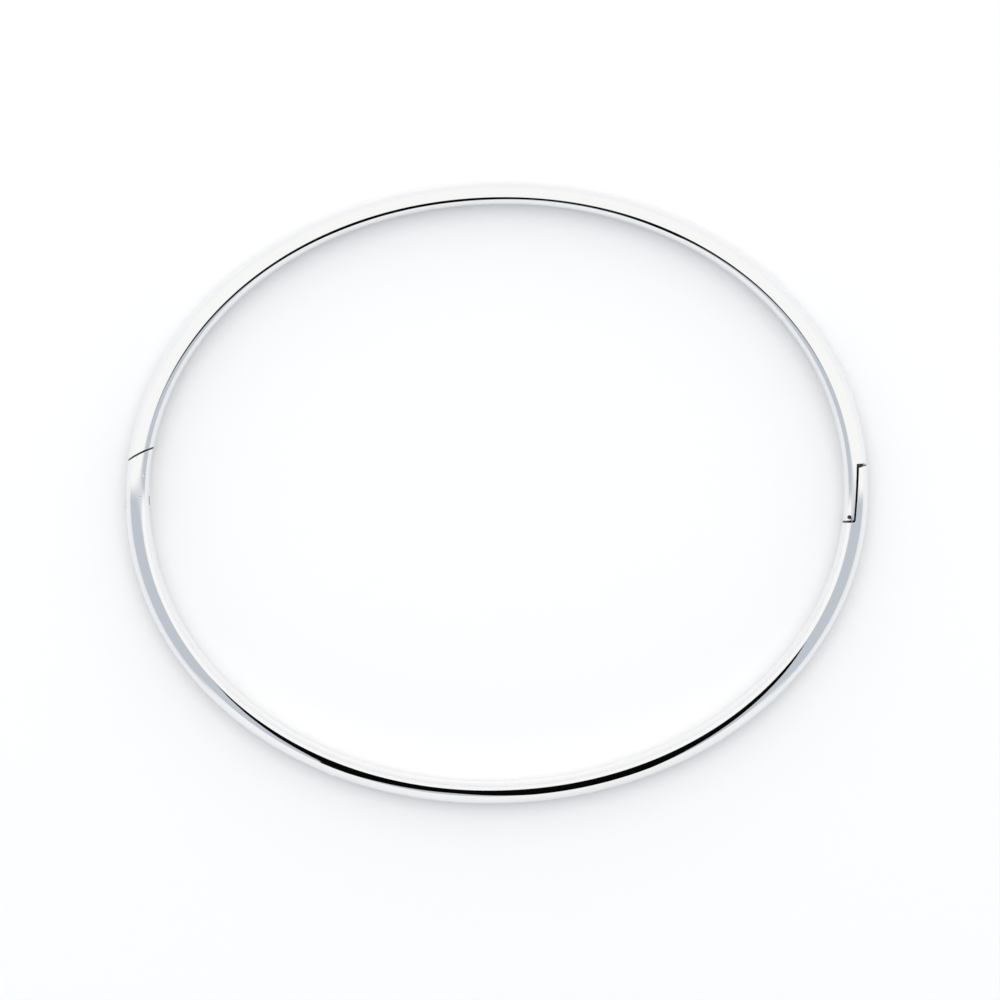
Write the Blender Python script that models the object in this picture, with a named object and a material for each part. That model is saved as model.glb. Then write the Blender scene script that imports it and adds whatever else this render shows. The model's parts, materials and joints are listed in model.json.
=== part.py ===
"""Hinged oval bangle, lying flat: +X along the oval's long axis, +Z up through the wrist opening.

The origin is the centre of the wrist opening, on the surface that the bangle lies on. Two hollow
half-round tubes make the band. At -X a leaf of the front half turns on a pin between two cheeks of
the rear half. At +X a tongue of the front half laps inside a tongue of the rear half, where a sprung
blade in the rear half snaps over a cross pin in the front half. Lengths are metres.
"""

from math import cos, pi, radians, sin, sqrt

import bmesh
import bpy
from mathutils import Matrix, Vector

MM = 0.001

# Wrist opening and band
OPENING_LONG = 60.0 * MM
OPENING_SHORT = 49.9 * MM
OVAL_POWER = 2.044             # 2 is an ellipse; a little more squares the shoulders
BAND_HEIGHT = 3.2 * MM         # along Z, across the wrist
BAND_DEPTH_ENDS = 2.08 * MM    # radial, at the hinge and the clasp
BAND_DEPTH_MIDDLE = 1.90 * MM  # radial, half way along each half
RIDGE_SHARE = 1 / 3            # how far out from the inner face the section is highest
INNER_POWER = 2.4              # the wrist side is flatter than the domed outside
OUTER_POWER = 2.0
TUBE_WALL = 0.30 * MM
BLOCK_INSET = 0.34 * MM        # the end blocks fill the tubes but for a film of solder
STATION_DEG = 5.0
SECTION_SIDES = 20

# Hinge
HINGE = Vector((-30.66 * MM, 1.05 * MM))
HINGE_SEAM_OUTER = Vector((-31.52 * MM, 4.32 * MM))
HINGE_SEAM_INNER = Vector((-29.45 * MM, 5.23 * MM))
HINGE_SEAM_BULGE = 0.07 * MM   # the seam is a shallow arc, hollow towards the rear half
HINGE_SEAM_GAP = 0.12 * MM
HINGE_SEAM_SHARES = (-1.5, -0.25, 0, 0.25, 0.5, 0.75, 1, 1.25, 2.5)
HINGE_PIN_R = 0.25 * MM
PRESS_GAP = 0.02 * MM
RUNNING_GAP = 0.03 * MM
LEAF_WIDTH = 1.00 * MM
SLOT_WIDTH = 1.10 * MM
LEAF_EYE_R = 0.60 * MM
HEEL_R = 1.50 * MM             # the leaf's outer corner, which turns inside the pocket
HEEL_DEG = (190.0, 215.0)      # the heel's arc, counted from +X about the hinge
POCKET_R = 1.62 * MM
POCKET_DEG = (204.0, 272.0)
LIP_DROP = 0.78 * MM           # the slot's inner lip lies this far below the hinge
LEAF_ROOT_Y = 8.6 * MM
FORK_FOOT_Y = -3.2 * MM

# Clasp: both lap faces are nearly arcs about the hinge, drafted so that the tongue swings out freely
LAP_FRONT_R, LAP_FRONT_DRAFT = 61.67 * MM, 0.056
LAP_REAR_R, LAP_REAR_DRAFT = 61.85 * MM, 0.066
SHOULDER_FRONT_Y = 1.33 * MM
TIP_REAR_INNER_Y = 1.00 * MM
TIP_REAR_OUTER_Y = 1.20 * MM
TIP_FRONT_Y = -3.52 * MM
SHOULDER_REAR_Y = -3.69 * MM
LAP_STEPS = 4
TONGUE_ROOT_Y = 5.4 * MM
SOCKET_FOOT_Y = -8.0 * MM

# Catch
CATCH_PIN = Vector((30.28 * MM, -3.22 * MM))
CATCH_PIN_R = 0.16 * MM
CATCH_PIN_SUNK = 0.14 * MM
WINDOW_WIDTH = 1.30 * MM
WINDOW_TOP_Y = -1.95 * MM
RIVET = Vector((30.50 * MM, -5.40 * MM))
RIVET_R = 0.16 * MM
RIVET_LENGTH = 2.10 * MM
BLADE_WIDTH = 0.95 * MM
BLADE_THICK = 0.14 * MM
BLADE_EYE_R = 0.30 * MM
BLADE_X = 30.57 * MM           # the straight part's middle, just outside the cross pin
BLADE_TIP_Y = -2.06 * MM
NOSE_X = 30.40 * MM            # the bend that the cross pin snaps past
NOSE_Y = -2.74 * MM
NOSE_HALF = 0.42 * MM
CATCH_POCKET_WIDTH = 1.15 * MM
CATCH_POCKET_X = (30.10 * MM, 30.92 * MM)
CATCH_POCKET_FOOT_Y = -5.82 * MM

MIDDLE_Z = BAND_HEIGHT / 2
REACH = 6 * MM                 # cutters run this far past what they cut
ROUND_SIDES = 24

POLISHED = ((0.90, 0.91, 0.93), 0.06)
FILED = ((0.80, 0.81, 0.83), 0.25)
SPRING = ((0.66, 0.67, 0.68), 0.20)


# --- Plain solids ------------------------------------------------------------------------------


def finished(name, bm):
    bmesh.ops.recalc_face_normals(bm, faces=bm.faces[:])
    mesh = bpy.data.meshes.new(name)
    bm.to_mesh(mesh)
    bm.free()
    obj = bpy.data.objects.new(name, mesh)
    bpy.context.scene.collection.objects.link(obj)
    return obj


def prism(name, outline, width=4 * BAND_HEIGHT):
    """A solid on a closed outline of (x, y) points, of that width about the band's middle height."""
    bm = bmesh.new()
    base = bm.faces.new([bm.verts.new((x, y, MIDDLE_Z - width / 2)) for x, y in outline])
    raised = bmesh.ops.extrude_face_region(bm, geom=[base])["geom"]
    moved = [part for part in raised if isinstance(part, bmesh.types.BMVert)]
    bmesh.ops.translate(bm, vec=(0, 0, width), verts=moved)
    return finished(name, bm)


def arc(centre, radius, first_deg, last_deg, steps):
    """Points along an arc about the centre."""
    turns = [radians(first_deg + (last_deg - first_deg) * step / steps) for step in range(steps + 1)]
    return [(centre.x + radius * cos(turn), centre.y + radius * sin(turn)) for turn in turns]


def rod(name, centre, radius, width=4 * BAND_HEIGHT):
    """An upright round rod."""
    last = 360 - 360 / ROUND_SIDES
    return prism(name, arc(centre, radius, 0, last, ROUND_SIDES - 1), width)


def box(name, x, y, width=4 * BAND_HEIGHT):
    return prism(name, [(x[0], y[0]), (x[1], y[0]), (x[1], y[1]), (x[0], y[1])], width)


# --- The band's shape --------------------------------------------------------------------------


def power(value, exponent):
    """value to the exponent, keeping its sign."""
    return (1 if value >= 0 else -1) * abs(value) ** exponent


def inner_edge(turn):
    """(point, outward unit normal) on the wrist opening's oval."""
    half = Vector((OPENING_LONG / 2, OPENING_SHORT / 2))
    x = power(cos(turn), 2 / OVAL_POWER)
    y = power(sin(turn), 2 / OVAL_POWER)
    slope = Vector((power(x, OVAL_POWER - 1) / half.x, power(y, OVAL_POWER - 1) / half.y))
    return Vector((x * half.x, y * half.y)), slope.normalized()


def band_depth(turn):
    return BAND_DEPTH_ENDS * cos(turn) ** 2 + BAND_DEPTH_MIDDLE * sin(turn) ** 2


def section(depth, inset):
    """The band's outline across, as (distance out from the inner edge, height) pairs.

    inset shrinks it evenly. Narrow flat lands lie along the top and the bottom.
    """
    ridge = depth * RIDGE_SHARE
    half_step = pi / SECTION_SIDES
    points = []
    for side in range(SECTION_SIDES):
        angle = (2 * side + 1) * half_step
        is_outer = cos(angle) > 0
        shape = 2 / (OUTER_POWER if is_outer else INNER_POWER)
        reach = (depth - ridge if is_outer else ridge) - inset
        across = power(cos(angle) / cos(half_step), shape) * reach
        rise = power(sin(angle) / cos(half_step), shape) * (MIDDLE_Z - inset)
        points.append((ridge + across, MIDDLE_Z + rise))
    return points


def band(name, first_deg, last_deg, inset=0.0):
    """A solid length of band, between two directions seen from the centre."""
    bm = bmesh.new()
    rings = []
    for station in range(round((last_deg - first_deg) / STATION_DEG) + 1):
        turn = radians(first_deg + station * STATION_DEG)
        start, out = inner_edge(turn)
        ring = []
        for distance, height in section(band_depth(turn), inset):
            place = start + out * distance
            ring.append(bm.verts.new((place.x, place.y, height)))
        rings.append(ring)
    for near, far in zip(rings, rings[1:]):
        for side in range(SECTION_SIDES):
            after = (side + 1) % SECTION_SIDES
            bm.faces.new((near[side], near[after], far[after], far[side]))
    bm.faces.new(rings[0])
    bm.faces.new(rings[-1])
    return finished(name, bm)


# --- Booleans ----------------------------------------------------------------------------------


def combine(obj, operation, *others):
    """Adds a Boolean modifier for each of the others, which become hidden cutters."""
    for other in others:
        other.hide_render = True
        other.display_type = "WIRE"
        modifier = obj.modifiers.new(f"{operation.lower()} {other.name}", "BOOLEAN")
        modifier.operation = operation
        modifier.solver = "EXACT"
        modifier.object = other
    return obj


# --- Where the halves part ---------------------------------------------------------------------


def hinge_seam(side):
    """Points along the slanting seam, from outside inwards; side is +1 for the front half's face."""
    span = HINGE_SEAM_INNER - HINGE_SEAM_OUTER
    upward = Vector((-span.y, span.x)).normalized()
    points = []
    for share in HINGE_SEAM_SHARES:
        bow = max(-1, 1 - (2 * share - 1) ** 2) * HINGE_SEAM_BULGE
        points.append(HINGE_SEAM_OUTER + span * share + upward * (bow + side * HINGE_SEAM_GAP / 2))
    return points


def beyond_hinge_seam(side):
    """The outline of all that one half must leave to the other beside the hinge."""
    points = hinge_seam(side)
    far_y = -side * 4 * REACH
    return [*points, (points[-1].x, far_y), (points[0].x, far_y)]


def lap_face(radius, draft, low_y, high_y):
    """Points up a lap face: an arc about the hinge whose radius grows with y."""
    points = []
    for step in range(LAP_STEPS + 1):
        y = low_y + (high_y - low_y) * step / LAP_STEPS
        x = HINGE.x + sqrt((radius + draft * y) ** 2 - (y - HINGE.y) ** 2)
        points.append((x, y))
    return points


def beyond_front_lap():
    """What the front half leaves at the clasp: all below its shoulder and outside its tongue."""
    inside_x, outside_x = OPENING_LONG / 2 - REACH / 2, OPENING_LONG / 2 + REACH
    return [
        (inside_x, TIP_FRONT_Y),
        *lap_face(LAP_FRONT_R, LAP_FRONT_DRAFT, TIP_FRONT_Y, SHOULDER_FRONT_Y),
        (outside_x, SHOULDER_FRONT_Y),
        (outside_x, -4 * REACH),
        (inside_x, -4 * REACH),
    ]


def beyond_rear_lap():
    """What the rear half leaves at the clasp: all above its shoulder and inside its tongue."""
    inside_x, outside_x = OPENING_LONG / 2 - REACH / 2, OPENING_LONG / 2 + REACH
    return [
        (inside_x, SHOULDER_REAR_Y),
        *lap_face(LAP_REAR_R, LAP_REAR_DRAFT, SHOULDER_REAR_Y, TIP_REAR_INNER_Y),
        (OPENING_LONG / 2 + BAND_DEPTH_ENDS, TIP_REAR_OUTER_Y),
        (outside_x, TIP_REAR_OUTER_Y),
        (outside_x, 4 * REACH),
        (inside_x, 4 * REACH),
    ]


def leaf_slot():
    """The slot for the leaf, open to both sides above, with the pocket that its heel turns in."""
    pocket = arc(HINGE, POCKET_R, POCKET_DEG[1], POCKET_DEG[0], 8)
    lip_y = HINGE.y - LIP_DROP
    return [
        (HINGE.x + REACH, HINGE.y + 2 * REACH),
        (HINGE.x + REACH, lip_y),
        (HINGE.x + LEAF_EYE_R * 2 / 3, lip_y),
        *pocket,
        (HINGE.x - REACH, pocket[-1][1]),
        (HINGE.x - REACH, HINGE.y + 2 * REACH),
    ]


# --- The pieces --------------------------------------------------------------------------------


def front_tube():
    obj = band("front_tube", -15, 195)
    return combine(
        obj,
        "DIFFERENCE",
        band("front_bore", -20, 200, TUBE_WALL),
        prism("front_hinge_cut", beyond_hinge_seam(+1)),
        prism("front_lap_cut", beyond_front_lap()),
        rod("front_pin_hole", CATCH_PIN, CATCH_PIN_R + PRESS_GAP),
    )


def rear_tube():
    obj = band("rear_tube", 165, 375)
    return combine(
        obj,
        "DIFFERENCE",
        band("rear_bore", 160, 380, TUBE_WALL),
        prism("rear_hinge_cut", beyond_hinge_seam(-1)),
        prism("rear_slot_cut", leaf_slot(), SLOT_WIDTH),
        rod("rear_pin_hole", HINGE, HINGE_PIN_R + PRESS_GAP),
        prism("rear_lap_cut", beyond_rear_lap()),
    )


def hinge_leaf():
    """A block in the front tube, with the flat leaf and its eye."""
    seam = hinge_seam(+1)
    outer, inner = seam[0], seam[-1]
    corner = arc(HINGE, LEAF_EYE_R, 0, -75, 5)
    heel = arc(HINGE, HEEL_R, HEEL_DEG[1], HEEL_DEG[0], 3)
    gap = Vector((0, PRESS_GAP))
    outline = [
        *[point - gap for point in reversed(seam)],
        (outer.x, heel[-1][1]),
        *reversed(heel),
        *reversed(corner),
        (inner.x, HINGE.y),
    ]
    leaf = combine(band("leaf_plate", 160, 190), "INTERSECT", prism("leaf_shape", outline, LEAF_WIDTH))
    obj = band("hinge_leaf", 155, 180, BLOCK_INSET)
    cheek_width = 2 * BAND_HEIGHT
    above = prism("leaf_block_top", beyond_hinge_seam(+1), cheek_width)
    below = prism("leaf_block_bottom", beyond_hinge_seam(+1), cheek_width)
    above.location.z = (LEAF_WIDTH + cheek_width) / 2
    below.location.z = -above.location.z
    x_range = (-OPENING_LONG, 0)
    combine(
        obj,
        "DIFFERENCE",
        above,
        below,
        box("leaf_root", x_range, (LEAF_ROOT_Y, 4 * REACH)),
        box("leaf_neck", x_range, (-4 * REACH, HINGE.y + LEAF_EYE_R * 2)),
    )
    combine(obj, "UNION", leaf)
    return combine(obj, "DIFFERENCE", rod("leaf_eye", HINGE, HINGE_PIN_R + RUNNING_GAP))


def hinge_fork():
    """A slotted block in the rear tube, under the two cheeks."""
    obj = band("hinge_fork", 160, 200, BLOCK_INSET)
    return combine(
        obj,
        "DIFFERENCE",
        prism("fork_seam", beyond_hinge_seam(-1)),
        prism("fork_slot", leaf_slot(), SLOT_WIDTH),
        rod("fork_pin_hole", HINGE, HINGE_PIN_R + PRESS_GAP),
        box("fork_foot", (-OPENING_LONG, 0), (-4 * REACH, FORK_FOOT_Y)),
    )


def hinge_pin():
    return rod("hinge_pin", HINGE, HINGE_PIN_R, BAND_HEIGHT - 2 * PRESS_GAP)


def clasp_tongue():
    """A block in the front tube, with a window that bares the cross pin."""
    obj = band("clasp_tongue", -15, 20, BLOCK_INSET)
    return combine(
        obj,
        "DIFFERENCE",
        prism("tongue_lap", beyond_front_lap()),
        box("tongue_root", (0, OPENING_LONG), (TONGUE_ROOT_Y, 4 * REACH)),
        box("tongue_window", (0, OPENING_LONG), (-REACH, WINDOW_TOP_Y), WINDOW_WIDTH),
        rod("tongue_pin_hole", CATCH_PIN, CATCH_PIN_R + PRESS_GAP),
    )


def clasp_socket():
    """A block in the rear tube, with the outer tongue and the pocket that holds the blade."""
    obj = band("clasp_socket", -25, 15, BLOCK_INSET)
    return combine(
        obj,
        "DIFFERENCE",
        prism("socket_lap", beyond_rear_lap()),
        box("socket_foot", (0, OPENING_LONG), (-4 * REACH, SOCKET_FOOT_Y)),
        box("socket_pocket", CATCH_POCKET_X, (CATCH_POCKET_FOOT_Y, -REACH / 2), CATCH_POCKET_WIDTH),
        rod("socket_rivet_hole", RIVET, RIVET_R + PRESS_GAP, RIVET_LENGTH + 2 * PRESS_GAP),
    )


def catch_pin():
    return rod("catch_pin", CATCH_PIN, CATCH_PIN_R, BAND_HEIGHT - 2 * CATCH_PIN_SUNK)


def catch_blade():
    """A flat spring: an eye on the rivet, a straight run, and a nose bent over the cross pin."""
    half = BLADE_THICK / 2
    inner_x, outer_x = BLADE_X - half, BLADE_X + half
    outline = [
        (inner_x, RIVET.y),
        (inner_x, NOSE_Y - NOSE_HALF),
        (NOSE_X - half, NOSE_Y),
        (inner_x, NOSE_Y + NOSE_HALF),
        (inner_x, BLADE_TIP_Y),
        (outer_x, BLADE_TIP_Y),
        (outer_x, NOSE_Y + NOSE_HALF),
        (NOSE_X + half, NOSE_Y),
        (outer_x, NOSE_Y - NOSE_HALF),
        (outer_x, RIVET.y),
    ]
    obj = prism("catch_blade", outline, BLADE_WIDTH)
    combine(obj, "UNION", rod("blade_eye", RIVET, BLADE_EYE_R, BLADE_WIDTH))
    return combine(obj, "DIFFERENCE", rod("blade_hole", RIVET, RIVET_R + RUNNING_GAP))


def blade_rivet():
    return rod("blade_rivet", RIVET, RIVET_R, RIVET_LENGTH)


# --- The whole bangle --------------------------------------------------------------------------


def material(name, colour, roughness):
    made = bpy.data.materials.new(name)
    made.use_nodes = True
    shader = made.node_tree.nodes["Principled BSDF"]
    shader.inputs["Base Color"].default_value = (*colour, 1)
    shader.inputs["Metallic"].default_value = 1.0
    shader.inputs["Roughness"].default_value = roughness
    return made


def pivot(name, centre):
    """An empty on a joint's upright axis."""
    empty = bpy.data.objects.new(name, None)
    empty.location = (centre.x, centre.y, MIDDLE_Z)
    bpy.context.scene.collection.objects.link(empty)
    return empty


def hang(obj, empty):
    obj.parent = empty
    obj.matrix_parent_inverse = Matrix.Translation(-empty.location)


def main():
    for old in list(bpy.data.objects):
        bpy.data.objects.remove(old)

    front_pieces = [
        (front_tube(), POLISHED),
        (hinge_leaf(), FILED),
        (clasp_tongue(), FILED),
        (catch_pin(), FILED),
    ]
    rear_pieces = [
        (rear_tube(), POLISHED),
        (hinge_fork(), FILED),
        (hinge_pin(), FILED),
        (clasp_socket(), FILED),
        (blade_rivet(), FILED),
    ]
    blade = catch_blade()
    for obj, (colour, roughness) in [*front_pieces, *rear_pieces, (blade, SPRING)]:
        obj.data.materials.append(material(f"{obj.name}_metal", colour, roughness))
        obj.data.shade_smooth()
        obj.data.set_sharp_from_angle(angle=radians(30))

    hinge_pivot = pivot("front_half_pivot", HINGE)
    for obj, _ in front_pieces:
        hang(obj, hinge_pivot)
    hang(blade, pivot("catch_blade_pivot", RIVET))


main()
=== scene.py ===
# %% [markdown]
# # A hinged oval bangle in polished white metal
# The bangle is two hollow half-round tubes. They turn on a pin at one end of the oval and lap over
# each other at the other end, where a hidden spring blade snaps over a cross pin. This lesson builds
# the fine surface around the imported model, and starts by loading that model as a fixed frame.

# %% Load the frame
import json
from math import atan2, cos, pi, radians, sin, sqrt

import bpy
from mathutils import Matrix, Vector


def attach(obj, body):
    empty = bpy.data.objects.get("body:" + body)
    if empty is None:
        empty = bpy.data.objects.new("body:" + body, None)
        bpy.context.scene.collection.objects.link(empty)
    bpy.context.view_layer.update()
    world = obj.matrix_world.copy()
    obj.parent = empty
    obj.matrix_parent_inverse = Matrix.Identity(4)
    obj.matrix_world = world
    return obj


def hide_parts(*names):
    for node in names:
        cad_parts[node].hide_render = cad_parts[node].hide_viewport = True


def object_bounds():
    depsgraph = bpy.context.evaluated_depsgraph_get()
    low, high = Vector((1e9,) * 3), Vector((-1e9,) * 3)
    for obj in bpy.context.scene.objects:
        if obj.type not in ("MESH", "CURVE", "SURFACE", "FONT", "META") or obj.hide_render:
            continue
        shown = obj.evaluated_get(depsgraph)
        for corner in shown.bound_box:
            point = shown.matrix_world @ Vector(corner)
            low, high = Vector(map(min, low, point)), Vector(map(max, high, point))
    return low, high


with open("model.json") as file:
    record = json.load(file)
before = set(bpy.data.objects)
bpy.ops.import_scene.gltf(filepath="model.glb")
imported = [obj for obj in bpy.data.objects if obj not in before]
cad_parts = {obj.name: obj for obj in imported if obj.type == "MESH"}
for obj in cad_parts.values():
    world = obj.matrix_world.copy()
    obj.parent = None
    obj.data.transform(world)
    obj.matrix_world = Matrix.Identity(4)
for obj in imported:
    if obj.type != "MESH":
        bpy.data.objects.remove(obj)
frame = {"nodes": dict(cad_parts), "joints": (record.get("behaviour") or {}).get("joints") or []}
cad_box = [list(corner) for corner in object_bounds()]
MM = 0.001
print("the frame's box, mm:", [[round(v / MM, 2) for v in corner] for corner in cad_box])

# %% [markdown]
# ## Sizes
# The size of the whole comes from the frame's box, and the two pivots come from its joints. Only the
# section of the tube and the cuts between the halves are given, in millimetres.

# %% The band's sizes
(LOW_X, LOW_Y, LOW_Z), (HIGH_X, HIGH_Y, HIGH_Z) = cad_box
MIDDLE_Z = (LOW_Z + HIGH_Z) / 2
BAND_DEPTH_ENDS = 2.08 * MM
BAND_DEPTH_MIDDLE = 1.90 * MM
HALF_LONG = (HIGH_X - LOW_X) / 2 - BAND_DEPTH_ENDS
HALF_SHORT = (HIGH_Y - LOW_Y) / 2 - BAND_DEPTH_MIDDLE
OVAL_POWER = 2.044
RIDGE_SHARE = 1 / 3
INNER_POWER = 2.4
OUTER_POWER = 2.0
TUBE_WALL = 0.30 * MM
pivots = {joint["name"]: Vector(joint["pos_m"]) for joint in frame["joints"]}
HINGE = pivots["hinge"]
RIVET = pivots["catch_flex"]
print("wrist opening, mm:", round(2 * HALF_LONG / MM, 2), "x", round(2 * HALF_SHORT / MM, 2))

# %% [markdown]
# ## Working by hand in code
# An operator acts on whatever is selected, so every step starts from nothing selected. In edit mode
# the vertices or edges to act on are picked by their place. These helpers keep each step short.

# %% Selecting and naming
ops = bpy.ops


def deselect_everything():
    if bpy.context.object and bpy.context.object.mode != "OBJECT":
        ops.object.mode_set(mode="OBJECT")
    ops.object.select_all(action="DESELECT")


def work_on(obj):
    """Only obj is selected and active."""
    deselect_everything()
    obj.select_set(True)
    bpy.context.view_layer.objects.active = obj


def newest(name):
    """Names the object that an operator has just added, and gives its mesh the same name."""
    obj = bpy.context.object
    obj.name = name
    obj.data.name = name
    return obj


def bake_place(obj):
    """Puts the object's place, turn and scale into its mesh, so that it sits at the origin."""
    work_on(obj)
    ops.object.transform_apply(location=True, rotation=True, scale=True)
    return obj


def duplicate(obj, name):
    work_on(obj)
    ops.object.duplicate(linked=False)
    return newest(name)


# %% [markdown]
# ## White metal in three finishes, and painted shade for the cuts
# Mirror polish on a precious metal is never perfectly even. The wheel leaves very fine lines along
# the band and the hand leaves faint smudges. Both are small changes of roughness and bump on Object
# coordinates, over a reflective colour that is a little darker than silver, as rhodium plate is.
# Inside the ends the metal is only filed and the blade is rolled. Every cut face gets a near-black
# colour, which is painted shade standing for the dark of the narrow gaps, seams and holes.

# %% Material helpers
NOISE_LOW, NOISE_HIGH = 0.3, 0.7  # nearly all of a noise lies between these two


def add_node(tree, kind, **values):
    """Adds a node and sets its named inputs."""
    made = tree.nodes.new(kind)
    for name, value in values.items():
        made.inputs[name.replace("_", " ")].default_value = value
    return made


def metal(name, colour):
    """(material, tree, shader, Object coordinates) for a bare metal."""
    made = bpy.data.materials.new(name)
    made.use_nodes = True
    tree = made.node_tree
    shader = tree.nodes["Principled BSDF"]
    shader.inputs["Base Color"].default_value = (*colour, 1)
    shader.inputs["Metallic"].default_value = 1.0
    place = tree.nodes.new("ShaderNodeTexCoord")
    return made, tree, shader, place.outputs["Object"]


def noise(tree, place, scale, stretch=(1, 1, 1), detail=3.0):
    """Noise whose grain is scale per metre, stretched along the axes."""
    mapping = add_node(tree, "ShaderNodeMapping", Scale=stretch)
    made = add_node(tree, "ShaderNodeTexNoise", Scale=scale, Detail=detail)
    tree.links.new(place, mapping.inputs["Vector"])
    tree.links.new(mapping.outputs["Vector"], made.inputs["Vector"])
    return made.outputs["Fac"]


def ranged(tree, value, low, high):
    """A noise made to run from low to high."""
    made = add_node(tree, "ShaderNodeMapRange", To_Min=low, To_Max=high)
    made.inputs["From Min"].default_value = NOISE_LOW
    made.inputs["From Max"].default_value = NOISE_HIGH
    tree.links.new(value, made.inputs["Value"])
    return made.outputs["Result"]


def bumped(tree, shader, height, depth):
    """Gives the shader's surface a relief that is depth high."""
    bump = add_node(tree, "ShaderNodeBump", Strength=1.0, Distance=depth)
    tree.links.new(height, bump.inputs["Height"])
    tree.links.new(bump.outputs["Normal"], shader.inputs["Normal"])


# %% Three finishes and the cut faces' painted shade
SMUDGE_SCALE, LINE_SCALE, LINE_STRETCH = 220, 9000, (1, 1, 0.12)
POLISH_ROUGHNESS, LINE_DEPTH = (0.015, 0.045), 0.00002 * MM


def polished_finish():
    """Smudges set the roughness and the wheel's lines make the relief."""
    made, tree, shader, place = metal("polished_white_metal", (0.88, 0.885, 0.895))
    smudges = noise(tree, place, SMUDGE_SCALE, detail=4.0)
    tree.links.new(ranged(tree, smudges, *POLISH_ROUGHNESS), shader.inputs["Roughness"])
    lines = noise(tree, place, LINE_SCALE, LINE_STRETCH, detail=2.0)
    bumped(tree, shader, lines, LINE_DEPTH)
    return made


def tooled_finish(name, colour, grain, stretch, roughness, depth, detail=3.0):
    """A metal whose tool marks set both the roughness and the relief."""
    made, tree, shader, place = metal(name, colour)
    marks = noise(tree, place, grain, stretch, detail)
    tree.links.new(ranged(tree, marks, *roughness), shader.inputs["Roughness"])
    bumped(tree, shader, marks, depth)
    return made


def paint(obj, finish):
    """Gives the whole object one finish."""
    obj.data.materials.clear()
    obj.data.materials.append(finish)
    return obj


polished = polished_finish()
filed = tooled_finish(
    "filed_white_metal",
    colour=(0.80, 0.80, 0.81),
    grain=4000,
    stretch=(1, 1, 12),
    roughness=(0.16, 0.30),
    depth=0.0015 * MM,
)
spring = tooled_finish(
    "rolled_spring_metal",
    colour=(0.62, 0.62, 0.63),
    grain=5000,
    stretch=(1, 0.1, 1),
    roughness=(0.18, 0.34),
    depth=0.001 * MM,
)
# Painted shade: this near-black colour stands in for the shade inside seams, gaps and holes, and it
# goes on every face a cutter makes. Its grain only sets roughness and relief.
cut_face_shade = tooled_finish(
    "sawn_white_metal",
    colour=(0.085, 0.072, 0.060),
    grain=7000,
    stretch=(1, 1, 0.15),
    roughness=(0.42, 0.62),
    depth=0.002 * MM,
    detail=4.0,
)
print("finishes:", [finish.name for finish in (polished, filed, spring, cut_face_shade)])

# %% [markdown]
# ## The section of the tube
# Cut across, the tube is a rounded D: domed outside, flatter against the wrist, with its crest a
# third of the way out. A circle is added for it and its points are eased onto two half
# superellipses that share the crest, because two different halves can't come from scaling alone.

# %% The superellipse
SECTION_SIDES = 64
STATIONS = 480


def power(value, exponent):
    """value to the exponent, keeping its sign."""
    return (1 if value >= 0 else -1) * abs(value) ** exponent


def section_point(angle, depth, inset):
    """(distance out from the inner edge, height) for one direction round the section."""
    outside = cos(angle) > 0
    shape = 2 / (OUTER_POWER if outside else INNER_POWER)
    ridge = depth * RIDGE_SHARE
    reach = (depth - ridge if outside else ridge) - inset
    rise = (HIGH_Z - MIDDLE_Z - inset) * power(sin(angle), shape)
    return ridge + reach * power(cos(angle), shape), MIDDLE_Z + rise


def oval_edge(turn):
    """(point, outward unit normal) on the wrist opening's oval."""
    x = power(cos(turn), 2 / OVAL_POWER)
    y = power(sin(turn), 2 / OVAL_POWER)
    slope = Vector((power(x, OVAL_POWER - 1) / HALF_LONG, power(y, OVAL_POWER - 1) / HALF_SHORT))
    return Vector((x * HALF_LONG, y * HALF_SHORT)), slope.normalized()


def band_depth(turn):
    return BAND_DEPTH_ENDS * cos(turn) ** 2 + BAND_DEPTH_MIDDLE * sin(turn) ** 2


print("section at the hinge, mm:", [round(v / MM, 2) for v in section_point(0, band_depth(0), 0)])

# %% [markdown]
# ## The whole ring
# The circle stands upright beside the axis and is spun once round it, as wire is bent round a
# mandrel. The spin leaves the last section on top of the first, so those doubles are merged. Then
# the round ring is pressed to the oval: each point keeps its turn and its place in the section.

# %% Spin the ring
SPIN_RADIUS = 3.0
SPIN_DOUBLES = 1e-4  # closer than this, two points of the spun ring are one


def spun_ring(name, sides, stations):
    """A round ring about Z: a unit circle's section, spun at SPIN_RADIUS."""
    deselect_everything()
    ops.mesh.primitive_circle_add(
        vertices=sides,
        radius=1,
        location=(SPIN_RADIUS, 0, 0),
        rotation=(pi / 2, 0, 0),
    )
    obj = bake_place(newest(name))
    ops.object.mode_set(mode="EDIT")
    ops.mesh.select_all(action="SELECT")
    ops.mesh.spin(steps=stations, angle=2 * pi, center=(0, 0, 0), axis=(0, 0, 1))
    ops.mesh.select_all(action="SELECT")
    ops.mesh.remove_doubles(threshold=SPIN_DOUBLES)
    ops.mesh.normals_make_consistent(inside=False)
    ops.object.mode_set(mode="OBJECT")
    return obj


def press_to_oval(obj, inset):
    """Moves every point of a round ring to its place on the oval band, shrunk by inset."""
    for vertex in obj.data.vertices:
        x, y, z = vertex.co
        turn = atan2(y, x)
        angle = atan2(z, sqrt(x * x + y * y) - SPIN_RADIUS)
        start, out = oval_edge(turn)
        distance, height = section_point(angle, band_depth(turn), inset)
        place = start + out * distance
        vertex.co = (place.x, place.y, height)
    obj.data.update()
    return obj


ring = paint(press_to_oval(spun_ring("ring", SECTION_SIDES, STATIONS), 0), polished)
bore = spun_ring("bore", SECTION_SIDES // 2, STATIONS // 2)
paint(press_to_oval(bore, TUBE_WALL), filed)
for whole in (ring, bore):
    work_on(whole)
    ops.object.shade_smooth()
print("ring:", len(ring.data.polygons), "faces")
print("outside, mm:", [round(v / MM, 2) for v in ring.dimensions])

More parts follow.
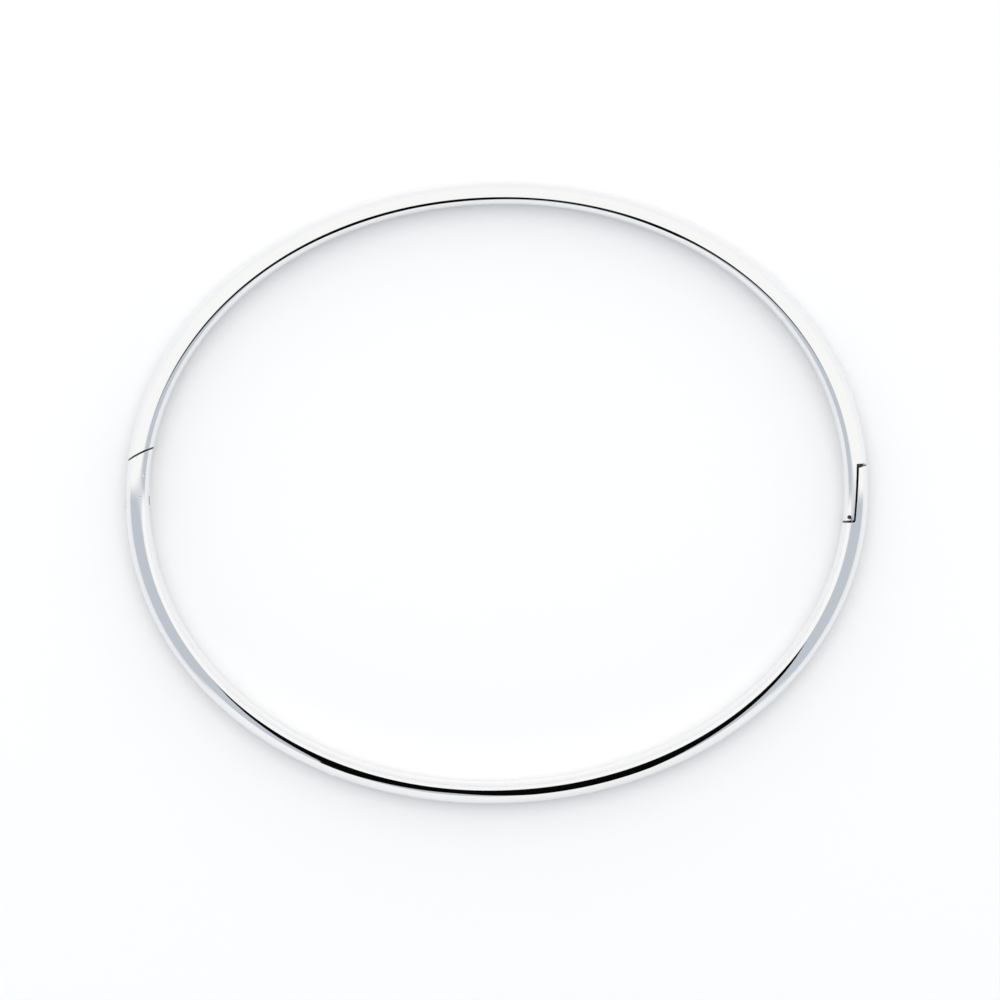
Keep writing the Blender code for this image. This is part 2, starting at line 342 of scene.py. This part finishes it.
# %% [markdown]
# ## Where the two halves part
# Beside the hinge a slanting saw cut, very slightly bowed, lets the front half swing out. At the
# clasp the cut makes a Z: a shoulder, a long lap face, and a second shoulder. The lap face is nearly
# an arc about the hinge, because the tongue leaves along that arc when the bangle opens.

# %% The cuts' outlines
REACH = 6 * MM  # cutters run this far past the metal
HINGE_SEAM_OUTER = Vector((-31.52, 4.32)) * MM
HINGE_SEAM_INNER = Vector((-29.45, 5.23)) * MM
HINGE_SEAM_BULGE = 0.07 * MM
HINGE_SEAM_GAP = 0.12 * MM
HINGE_SEAM_SHARES = (-1.5, -0.25, 0, 0.25, 0.5, 0.75, 1, 1.25, 2.5)
LAP_FRONT_R, LAP_FRONT_DRAFT = 61.67 * MM, 0.056
LAP_REAR_R, LAP_REAR_DRAFT = 61.85 * MM, 0.066
SHOULDER_FRONT_Y, TIP_FRONT_Y = 1.33 * MM, -3.52 * MM
SHOULDER_REAR_Y = -3.69 * MM
TIP_REAR_INNER_Y, TIP_REAR_OUTER_Y = 1.00 * MM, 1.20 * MM


def hinge_seam(side):
    """Points along the slanting seam; side is +1 for the front half's face, -1 for the rear's."""
    span = HINGE_SEAM_INNER - HINGE_SEAM_OUTER
    upward = Vector((-span.y, span.x)).normalized()
    points = []
    for share in HINGE_SEAM_SHARES:
        bow = max(-1, 1 - (2 * share - 1) ** 2) * HINGE_SEAM_BULGE
        lift = bow + side * HINGE_SEAM_GAP / 2
        points.append(HINGE_SEAM_OUTER + span * share + upward * lift)
    return points


def lap_face(radius, draft, low_y, high_y, steps=12):
    """Points up a lap face: an arc about the hinge whose radius grows with y."""
    points = []
    for step in range(steps + 1):
        y = low_y + (high_y - low_y) * step / steps
        x = HINGE.x + sqrt((radius + draft * y) ** 2 - (y - HINGE.y) ** 2)
        points.append((x, y))
    return points


inside_x, outside_x, far_y = HALF_LONG - REACH / 2, HIGH_X + REACH, HIGH_Y + REACH
not_front = [
    *hinge_seam(+1),
    (inside_x, TIP_FRONT_Y),
    *lap_face(LAP_FRONT_R, LAP_FRONT_DRAFT, TIP_FRONT_Y, SHOULDER_FRONT_Y),
    (outside_x, SHOULDER_FRONT_Y),
    (outside_x, -far_y),
    (-outside_x, -far_y),
]
not_rear = [
    *hinge_seam(-1),
    (inside_x, SHOULDER_REAR_Y),
    *lap_face(LAP_REAR_R, LAP_REAR_DRAFT, SHOULDER_REAR_Y, TIP_REAR_INNER_Y),
    (HIGH_X, TIP_REAR_OUTER_Y),
    (outside_x, TIP_REAR_OUTER_Y),
    (outside_x, far_y),
    (-outside_x, far_y),
]
print("points on the two cuts:", len(not_front), "and", len(not_rear))

# %% [markdown]
# ## Cutters
# A cutter is drawn flat and raised, like a template for a saw. Its outline starts as one vertex,
# extruded from point to point and closed into a face, and the face is extruded to a block. Round
# holes use a cylinder. A cutter carries the near-black painted shade, and the Boolean leaves it on
# the faces it makes, so seam walls and hole walls are painted dark as shade. Once a cut is applied
# its cutter has done its work and is removed.

# %% Templates and cuts
TALL = 4 * (HIGH_Z - LOW_Z)
HOLE_SIDES = 48


def template(name, outline, width=TALL, middle=MIDDLE_Z):
    """An upright block on a closed outline of (x, y) points."""
    deselect_everything()
    low = middle - width / 2
    ops.mesh.primitive_plane_add(size=1, location=(0, 0, 0))
    obj = newest(name)
    ops.object.mode_set(mode="EDIT")
    ops.mesh.select_mode(type="VERT")
    ops.mesh.select_all(action="SELECT")
    ops.mesh.merge(type="CENTER")
    ops.transform.translate(value=(outline[0][0], outline[0][1], low))
    for here, there in zip(outline, outline[1:]):
        step = (there[0] - here[0], there[1] - here[1], 0)
        ops.mesh.extrude_region_move(TRANSFORM_OT_translate={"value": step})
    ops.mesh.select_all(action="SELECT")
    ops.mesh.edge_face_add()
    ops.mesh.extrude_region_move(TRANSFORM_OT_translate={"value": (0, 0, width)})
    ops.mesh.select_all(action="SELECT")
    ops.mesh.normals_make_consistent(inside=False)
    return paint(bake_place(obj), cut_face_shade)


def drill(name, centre, radius, width=TALL):
    """An upright round cutter."""
    deselect_everything()
    ops.mesh.primitive_cylinder_add(
        vertices=HOLE_SIDES,
        radius=radius,
        depth=width,
        location=(centre[0], centre[1], MIDDLE_Z),
    )
    return paint(bake_place(newest(name)), cut_face_shade)


def cut(obj, *cutters, operation="DIFFERENCE"):
    """Applies one Boolean for each cutter, then removes the cutters."""
    for cutter in cutters:
        work_on(obj)
        modifier = obj.modifiers.new("cut", "BOOLEAN")
        modifier.operation = operation
        modifier.solver = "EXACT"
        modifier.material_mode = "TRANSFER"
        modifier.object = cutter
        ops.object.modifier_apply(modifier=modifier.name)
        bpy.data.objects.remove(cutter)
    return obj


# %% [markdown]
# ## Eased edges
# A saw leaves an edge sharp, and a polishing wheel breaks it where it can reach. Specks left by the
# cuts are merged. Then the sharp edges on the skin are picked and bevelled by a few hundredths of a
# millimetre, so that they catch a thin line of light as real metal does.
#
# A Boolean also leaves long thin faces, and their shading would look like dents. So each piece takes
# its shading from the whole ring, wherever it still has the ring's skin.

# %% Ease and shade
SPECK = 0.012 * MM
EASED = 0.035 * MM
SHARP = radians(32)
SKIN = 0.002 * MM


def on_skin(point):
    """Whether a point lies on the whole ring's surface."""
    return (ring.closest_point_on_mesh(point)[1] - point).length < SKIN


def ease_edges(obj, width=EASED, segments=2, everywhere=False):
    """Merges specks and bevels the sharp edges, on the ring's skin or everywhere."""
    work_on(obj)
    ops.object.mode_set(mode="EDIT")
    ops.mesh.select_all(action="SELECT")
    ops.mesh.remove_doubles(threshold=SPECK)
    ops.mesh.select_all(action="DESELECT")
    ops.mesh.select_mode(type="EDGE")
    ops.mesh.edges_select_sharp(sharpness=SHARP)
    ops.object.mode_set(mode="OBJECT")
    for edge in obj.data.edges:
        ends = [obj.data.vertices[end].co for end in edge.vertices]
        edge.select &= everywhere or all(on_skin(end) for end in ends)
    ops.object.mode_set(mode="EDIT")
    ops.mesh.bevel(offset=width, segments=segments, clamp_overlap=False, material=0)
    ops.object.mode_set(mode="OBJECT")
    return obj


def shade(obj):
    """Smooth, but for the sharp edges."""
    work_on(obj)
    ops.object.shade_smooth_by_angle(angle=SHARP)
    return obj


def shade_as_ring(obj):
    """Shades what is left of the ring's skin as on the whole ring."""
    shade(obj)
    skin = [vertex.index for vertex in obj.data.vertices if on_skin(vertex.co)]
    obj.vertex_groups.new(name="skin").add(skin, 1.0, "REPLACE")
    modifier = obj.modifiers.new("ring_shading", "DATA_TRANSFER")
    modifier.object = ring
    modifier.use_loop_data = True
    modifier.data_types_loops = {"CUSTOM_NORMAL"}
    modifier.loop_mapping = "POLYINTERP_NEAREST"
    modifier.vertex_group = "skin"
    ops.object.modifier_apply(modifier=modifier.name)
    obj.vertex_groups.clear()
    return obj


# %% [markdown]
# ## The leaf's slot
# The leaf swings between two cheeks, in a slot that is open to both sides. Its floor is a pocket
# round the pin for the heel, which strikes the pocket's inner wall when the bangle is fully open.

# %% The slot and the leaf, seen from above
PRESS_GAP, RUNNING_GAP = 0.02 * MM, 0.03 * MM
LEAF_WIDTH, SLOT_WIDTH = 1.00 * MM, 1.10 * MM
EYE_R, HEEL_R, POCKET_R = 0.60 * MM, 1.50 * MM, 1.62 * MM
LIP_DROP = 0.78 * MM


def arc(centre, radius, first_deg, last_deg, steps):
    """Points along an arc about the centre."""
    points = []
    for step in range(steps + 1):
        turn = radians(first_deg + (last_deg - first_deg) * step / steps)
        points.append((centre.x + radius * cos(turn), centre.y + radius * sin(turn)))
    return points


pocket = arc(HINGE, POCKET_R, 272, 204, 16)
lip_y = HINGE.y - LIP_DROP
slot_outline = [
    (HINGE.x + REACH, HINGE.y + 2 * REACH),
    (HINGE.x + REACH, lip_y),
    (HINGE.x + EYE_R * 2 / 3, lip_y),
    *pocket,
    (HINGE.x - REACH, pocket[-1][1]),
    (HINGE.x - REACH, HINGE.y + 2 * REACH),
]
heel = arc(HINGE, HEEL_R, 215, 190, 6)
front_seam = hinge_seam(+1)
leaf_outline = [
    *[(point.x, point.y - PRESS_GAP) for point in reversed(front_seam)],
    (front_seam[0].x, heel[-1][1]),
    *reversed(heel),
    *arc(HINGE, EYE_R, -75, 0, 12),
    (front_seam[-1].x, HINGE.y),
]
print("slot", SLOT_WIDTH / MM, "mm wide for a leaf of", LEAF_WIDTH / MM, "mm")

# %% [markdown]
# ## Punch marks
# A punch leaves a shallow round dent. There is one at each end of the hinge pin, and one more beside
# it on the band. The punch is a ball that only just reaches into the metal.

# %% A round punch
PUNCH_R, PUNCH_LIFT = 0.16 * MM, 0.14 * MM
SPOT = Vector((-30.25, 2.93)) * MM
SPOT_HEIGHT = 1.53 * MM  # the band's surface there, above its middle height


def punch(centre, height):
    """A ball that dents a surface when it is cut away from it."""
    deselect_everything()
    ops.mesh.primitive_uv_sphere_add(
        segments=32,
        ring_count=16,
        radius=PUNCH_R,
        location=(centre[0], centre[1], height),
    )
    return paint(bake_place(newest("punch")), polished)


# %% [markdown]
# ## The two tubes
# Each half is a copy of the ring. The bore hollows it, its own template saws the other half away,
# and the rear half gets its slot. The wall that is left is 0.3 mm thick. The holes and the dent come
# after the easing, so that they stay crisp.

# %% Cut the tubes
CATCH_PIN = Vector((30.28, -3.22)) * MM
CATCH_PIN_R, HINGE_PIN_R = 0.16 * MM, 0.25 * MM

front_tube = cut(
    duplicate(ring, "front_band"),
    duplicate(bore, "front_bore"),
    template("front_saw", not_front),
)
rear_tube = cut(
    duplicate(ring, "rear_band"),
    duplicate(bore, "rear_bore"),
    template("rear_saw", not_rear),
    template("slot_saw", slot_outline, SLOT_WIDTH),
)
for tube in (front_tube, rear_tube):
    ease_edges(tube)
cut(front_tube, drill("front_hole", CATCH_PIN, CATCH_PIN_R + PRESS_GAP))
cut(
    rear_tube,
    drill("rear_hole", HINGE, HINGE_PIN_R),
    punch(SPOT, MIDDLE_Z + SPOT_HEIGHT + PUNCH_LIFT),
)
tubes = {
    "front_tube": (front_tube, "front_half"),
    "rear_tube": (rear_tube, "rear_half"),
}
for node, (tube, body) in tubes.items():
    shade_as_ring(tube)
    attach(tube, body)
    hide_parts(node)
    print(tube.name, "has", len(tube.data.polygons), "faces")

# %% [markdown]
# ## The blocks inside the ends
# A hollow tube can't hold a hinge or a clasp, so a block of solid metal is soldered into each end.
# Each one starts as the bore's own shape, which fills the tube, sawn with the tube it sits in and
# kept only near its end. The tongue's block also has a step that nearly closes the upper gap.

# %% The blocks
LEAF_ROOT_Y, FORK_FOOT_Y = 8.6 * MM, -3.2 * MM
TONGUE_ROOT_Y, SOCKET_FOOT_Y = 5.4 * MM, -8.0 * MM
WINDOW_WIDTH, WINDOW_TOP_Y = 1.30 * MM, -1.95 * MM
CATCH_POCKET_WIDTH = 1.15 * MM
CATCH_POCKET_X = (30.10 * MM, 30.92 * MM)
CATCH_POCKET_Y = (-5.82 * MM, -REACH / 2)
STEP_GAP = 0.03 * MM  # left between the tongue's step and the tip of the rear half


def rectangle(x, y):
    """The outline between two x and two y."""
    return [(x[0], y[0]), (x[1], y[0]), (x[1], y[1]), (x[0], y[1])]


def end_block(name, saw_outline, side, y):
    """The part of the bore's solid that one half keeps between two y, on one side of the oval."""
    x = (0, outside_x) if side > 0 else (-outside_x, 0)
    obj = cut(duplicate(bore, name), template(f"{name}_keep", rectangle(x, y)), operation="INTERSECT")
    return cut(obj, template(f"{name}_saw", saw_outline))


leaf_plate = cut(
    duplicate(ring, "leaf_plate"),
    template("leaf_shape", leaf_outline, LEAF_WIDTH),
    operation="INTERSECT",
)
neck_y = (HINGE_SEAM_OUTER.y - MM, HINGE_SEAM_INNER.y + MM)
leaf_neck = cut(
    duplicate(bore, "leaf_neck"),
    template("neck_shape", rectangle((-outside_x, 0), neck_y), LEAF_WIDTH - PRESS_GAP),
    operation="INTERSECT",
)
hinge_leaf = end_block("leaf_block", not_front, -1, (0, LEAF_ROOT_Y))
cut(hinge_leaf, leaf_neck, leaf_plate, operation="UNION")

hinge_fork = cut(
    end_block("fork_block", not_rear, -1, (FORK_FOOT_Y, HINGE_SEAM_INNER.y + MM)),
    template("fork_slot", slot_outline, SLOT_WIDTH),
)
not_tongue = [
    (0, TIP_FRONT_Y),
    *lap_face(LAP_FRONT_R, LAP_FRONT_DRAFT, TIP_FRONT_Y, TIP_REAR_INNER_Y + STEP_GAP),
    (HIGH_X, TIP_REAR_OUTER_Y + STEP_GAP),
    (outside_x, TIP_REAR_OUTER_Y + STEP_GAP),
    (outside_x, -far_y),
    (0, -far_y),
]
clasp_tongue = cut(
    end_block("tongue_block", not_tongue, +1, (TIP_FRONT_Y - MM, TONGUE_ROOT_Y)),
    template("tongue_window", rectangle((0, outside_x), (-REACH, WINDOW_TOP_Y)), WINDOW_WIDTH),
)
clasp_socket = cut(
    end_block("socket_block", not_rear, +1, (SOCKET_FOOT_Y, TIP_REAR_OUTER_Y + MM)),
    template("socket_pocket", rectangle(CATCH_POCKET_X, CATCH_POCKET_Y), CATCH_POCKET_WIDTH),
)
for block in (hinge_leaf, hinge_fork, clasp_tongue, clasp_socket):
    ease_edges(block, EASED / 2)
cut(hinge_leaf, drill("leaf_hole", HINGE, HINGE_PIN_R + RUNNING_GAP))
cut(hinge_fork, drill("fork_hole", HINGE, HINGE_PIN_R + PRESS_GAP))
cut(clasp_tongue, drill("tongue_hole", CATCH_PIN, CATCH_PIN_R + PRESS_GAP))
paint(clasp_tongue, cut_face_shade)  # painted shade: the whole block is near-black, as its step shows in the upper gap
blocks = {
    "hinge_leaf": (hinge_leaf, "front_half"),
    "hinge_fork": (hinge_fork, "rear_half"),
    "clasp_tongue": (clasp_tongue, "front_half"),
    "clasp_socket": (clasp_socket, "rear_half"),
}
for node, (block, body) in blocks.items():
    shade_as_ring(block)
    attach(block, body)
    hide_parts(node)
    print(block.name, "has", len(block.data.polygons), "faces")

# %% [markdown]
# ## Pins
# The hinge pin is riveted and polished off with the band, so its ends follow the crest: it is the
# ring's own metal inside a drill's outline. A small punch mark is all that shows of it. The cross
# pin's ends lie sunk in their holes and are rounded over.

# %% Hinge pin and cross pin
CATCH_PIN_SUNK, PIN_ROUNDING = 0.12 * MM, 0.07 * MM

hinge_pin = cut(
    duplicate(ring, "hinge_rivet"),
    drill("pin_outline", HINGE, HINGE_PIN_R),
    operation="INTERSECT",
)
for end_z in (LOW_Z - PUNCH_LIFT, HIGH_Z + PUNCH_LIFT):
    cut(hinge_pin, punch(HINGE, end_z))
catch_pin = drill("cross_pin", CATCH_PIN, CATCH_PIN_R, HIGH_Z - LOW_Z - 2 * CATCH_PIN_SUNK)
ease_edges(catch_pin, PIN_ROUNDING, 4, everywhere=True)
pins = {
    "hinge_pin": (hinge_pin, "rear_half"),
    "catch_pin": (catch_pin, "front_half"),
}
for node, (pin, body) in pins.items():
    shade_as_ring(pin)
    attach(pin, body)
    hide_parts(node)
    print(pin.name, "is", round(pin.dimensions.z / MM, 2), "mm long")

# %% [markdown]
# ## The catch blade
# The blade is a strip of spring metal folded over a former, so its nose is a smooth wave and not a
# corner. Its middle line is a cosine bump, and a template is drawn down one side and up the other.
# The eye is added round the rivet and drilled. The rivet is the frame's own, with a filed finish.

# %% The blade
BLADE_X, BLADE_THICK, BLADE_WIDTH = 30.57 * MM, 0.14 * MM, 0.95 * MM
BLADE_TIP_Y = -2.06 * MM
NOSE_DEPTH, NOSE_Y, NOSE_HALF = 0.17 * MM, -2.74 * MM, 0.42 * MM
NOSE_STEPS = 8
BLADE_EYE_R, RIVET_R = 0.30 * MM, 0.16 * MM


def blade_middle(y):
    """The strip's middle line, bent towards the wrist at its nose."""
    reach = min(1, abs(y - NOSE_Y) / NOSE_HALF)
    return BLADE_X - NOSE_DEPTH * (1 + cos(pi * reach)) / 2


heights = [RIVET.y + 2 * BLADE_EYE_R / 3, NOSE_Y - NOSE_HALF]
heights += [NOSE_Y + NOSE_HALF * step / NOSE_STEPS for step in range(1 - NOSE_STEPS, NOSE_STEPS + 1)]
heights += [BLADE_TIP_Y]
strip = [(blade_middle(y) - BLADE_THICK / 2, y) for y in heights]
strip += [(blade_middle(y) + BLADE_THICK / 2, y) for y in reversed(heights)]
catch_blade = cut(
    template("sprung_blade", strip, BLADE_WIDTH),
    drill("blade_eye", RIVET, BLADE_EYE_R, BLADE_WIDTH - PRESS_GAP),
    operation="UNION",
)
cut(catch_blade, drill("blade_hole", RIVET, RIVET_R + RUNNING_GAP))
shade(ease_edges(paint(catch_blade, spring), EASED / 2, everywhere=True))
paint(frame["nodes"]["blade_rivet"], filed)
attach(catch_blade, "catch_spring")
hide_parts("catch_blade")
for used in (ring, bore):
    bpy.data.objects.remove(used)
print("blade:", len(catch_blade.data.polygons), "faces")

# %% [markdown]
# ## The table and the light
# Polished metal shows only its surroundings, so they are the look of it. The bangle lies on a pale
# acrylic sheet inside a light tent. Behind it the tent glows warm white, in front it is dimmer and
# bluish, and low in front is a white card. The tent is drawn by direction alone.

# %% The pale sheet
SHEET_SIZE, SHEET_DROP = 3.0, 0.02 * MM
deselect_everything()
ops.mesh.primitive_plane_add(size=SHEET_SIZE, location=(0, 0, LOW_Z - SHEET_DROP))
sheet = bake_place(newest("pale_sheet"))
acrylic = bpy.data.materials.new("pale_acrylic")
acrylic.use_nodes = True
acrylic_shader = acrylic.node_tree.nodes["Principled BSDF"]
acrylic_shader.inputs["Base Color"].default_value = (0.93, 0.93, 0.94, 1)
acrylic_shader.inputs["Roughness"].default_value = 0.30
sheet.data.materials.append(acrylic)

# %% The light tent
TENT_BACK = (1.055, 1.05, 1.03, 1)
TENT_FRONT = (0.58, 0.62, 0.67, 1)
FRONT_CARD = (1.00, 1.00, 0.99, 1)
TENT_TURN = 0.06
BACK_FROM = (-0.08, -0.01)  # the direction's y, from all front to all back
CARD_FROM = (-0.62, -0.78)  # the direction's y at the card's far edge
CARD_UNDER = (0.46, 0.38)  # the direction's z at the card's top edge


def step_between(tree, value, low, high):
    """0 where value is under low, 1 over high, and a smooth step between."""
    made = add_node(tree, "ShaderNodeMapRange", From_Min=low, From_Max=high)
    made.interpolation_type = "SMOOTHSTEP"
    tree.links.new(value, made.inputs["Value"])
    return made.outputs["Result"]


def blend_colours(tree, share, first, second):
    """From first to second as share grows; each is a colour or a node's output."""
    made = tree.nodes.new("ShaderNodeMix")
    made.data_type = "RGBA"
    tree.links.new(share, made.inputs["Factor"])
    for socket, colour in ((made.inputs[6], first), (made.inputs[7], second)):
        if isinstance(colour, tuple):
            socket.default_value = colour
        else:
            tree.links.new(colour, socket)
    return made.outputs[2]


tent = bpy.data.worlds.new("light_tent")
tent.use_nodes = True
bpy.context.scene.world = tent
sky = tent.node_tree
direction = sky.nodes.new("ShaderNodeTexCoord").outputs["Generated"]
turned = add_node(sky, "ShaderNodeMapping", Rotation=(0, 0, TENT_TURN))
split = sky.nodes.new("ShaderNodeSeparateXYZ")
sky.links.new(direction, turned.inputs["Vector"])
sky.links.new(turned.outputs["Vector"], split.inputs["Vector"])
behind = step_between(sky, split.outputs["Y"], *BACK_FROM)
walls = blend_colours(sky, behind, TENT_FRONT, TENT_BACK)
forward = step_between(sky, split.outputs["Y"], *CARD_FROM)
low_down = step_between(sky, split.outputs["Z"], *CARD_UNDER)
card = sky.nodes.new("ShaderNodeMath")
card.operation = "MULTIPLY"
sky.links.new(forward, card.inputs[0])
sky.links.new(low_down, card.inputs[1])
tent_colour = blend_colours(sky, card.outputs["Value"], walls, FRONT_CARD)
sky.links.new(tent_colour, sky.nodes["Background"].inputs["Color"])
print("tent nodes:", len(sky.nodes))

# %% [markdown]
# ## A dark flag and a soft key
# A mirror with only white round it looks flat. A black flag overhead, towards the front, draws the
# dark line that runs along the crest and shows how the section turns. The key is one more soft box
# behind, to lift the sheet. Neither is seen by the camera itself.

# %% Flag and key
FLAG_Z, FLAG_THICK = 1.0, 0.01
flag_points = [
    (-0.03, -0.07),
    (-0.10, -0.11),
    (-0.21, -0.23),
    (-0.31, -0.38),
    (-0.40, -0.60),
    (-0.46, -0.85),
    (-0.58, -1.20),
    (-0.95, -1.98),
    (-0.80, -2.03),
    (-0.42, -1.40),
    (-0.12, -1.02),
    (-0.05, -1.53),
    (0.10, -2.33),
    (0.78, -2.33),
    (0.60, -1.30),
    (0.53, -0.80),
    (0.48, -0.60),
    (0.40, -0.42),
    (0.30, -0.29),
    (0.20, -0.19),
    (0.10, -0.11),
    (0.04, -0.07),
]
flag = template("black_flag", flag_points, FLAG_THICK, FLAG_Z)
velvet = bpy.data.materials.new("black_velvet")
velvet.use_nodes = True
velvet_shader = velvet.node_tree.nodes["Principled BSDF"]
velvet_shader.inputs["Base Color"].default_value = (0.003, 0.003, 0.003, 1)
velvet_shader.inputs["Specular IOR Level"].default_value = 0.0
velvet_shader.inputs["Roughness"].default_value = 1.0
paint(flag, velvet)
flag.visible_camera = False

KEY_PLACE = Vector((0, 0.10, 0.80))
KEY_SIZE, KEY_WATTS = 1.0, 2.8
key_data = bpy.data.lights.new("soft_key", "AREA")
key_data.shape = "DISK"
key_data.size = KEY_SIZE
key_data.energy = KEY_WATTS
key = bpy.data.objects.new("soft_key", key_data)
bpy.context.scene.collection.objects.link(key)
key.location = KEY_PLACE
key.rotation_euler = (-KEY_PLACE).to_track_quat("-Z", "Y").to_euler()
key.visible_camera = False
key.visible_glossy = False
print("flag points:", len(flag_points), "and key power, W:", KEY_WATTS)

# %% [markdown]
# ## The camera
# A long lens almost straight above keeps the oval true. The camera leans back by a few degrees, is
# turned a little, so that the long axis isn't quite level, and is aimed a hair off the bangle's
# middle. Its distance is what fits the wanted width.

# %% Place the camera
LENS, SENSOR = 200.0, 36.0
CLIP_START, CLIP_END = 0.01, 20.0
VIEW_WIDTH = 86.4 * MM
VIEW_TURN = 0.0415
VIEW_TILT = 0.05
VIEW_OFFSET = Vector((0.28, -0.55)) * MM
camera_data = bpy.data.cameras.new("overhead")
camera_data.lens = LENS
camera_data.sensor_width = SENSOR
camera = bpy.data.objects.new("overhead", camera_data)
bpy.context.scene.collection.objects.link(camera)
bpy.context.scene.camera = camera
across = Vector((cos(VIEW_TURN), -sin(VIEW_TURN)))
upward = Vector((sin(VIEW_TURN), cos(VIEW_TURN)))
aim = (across * VIEW_OFFSET.x + upward * VIEW_OFFSET.y).to_3d() + Vector((0, 0, MIDDLE_Z))
away = VIEW_WIDTH * LENS / SENSOR
camera.rotation_euler = (-VIEW_TILT, 0, -VIEW_TURN)
sight = (upward * sin(VIEW_TILT)).to_3d() + Vector((0, 0, cos(VIEW_TILT)))
camera.location = aim + sight * away
camera_data.clip_start = CLIP_START
camera_data.clip_end = CLIP_END
bpy.context.scene.view_settings.view_transform = "Standard"
print("camera height, mm:", round(camera.location.z / MM, 1))
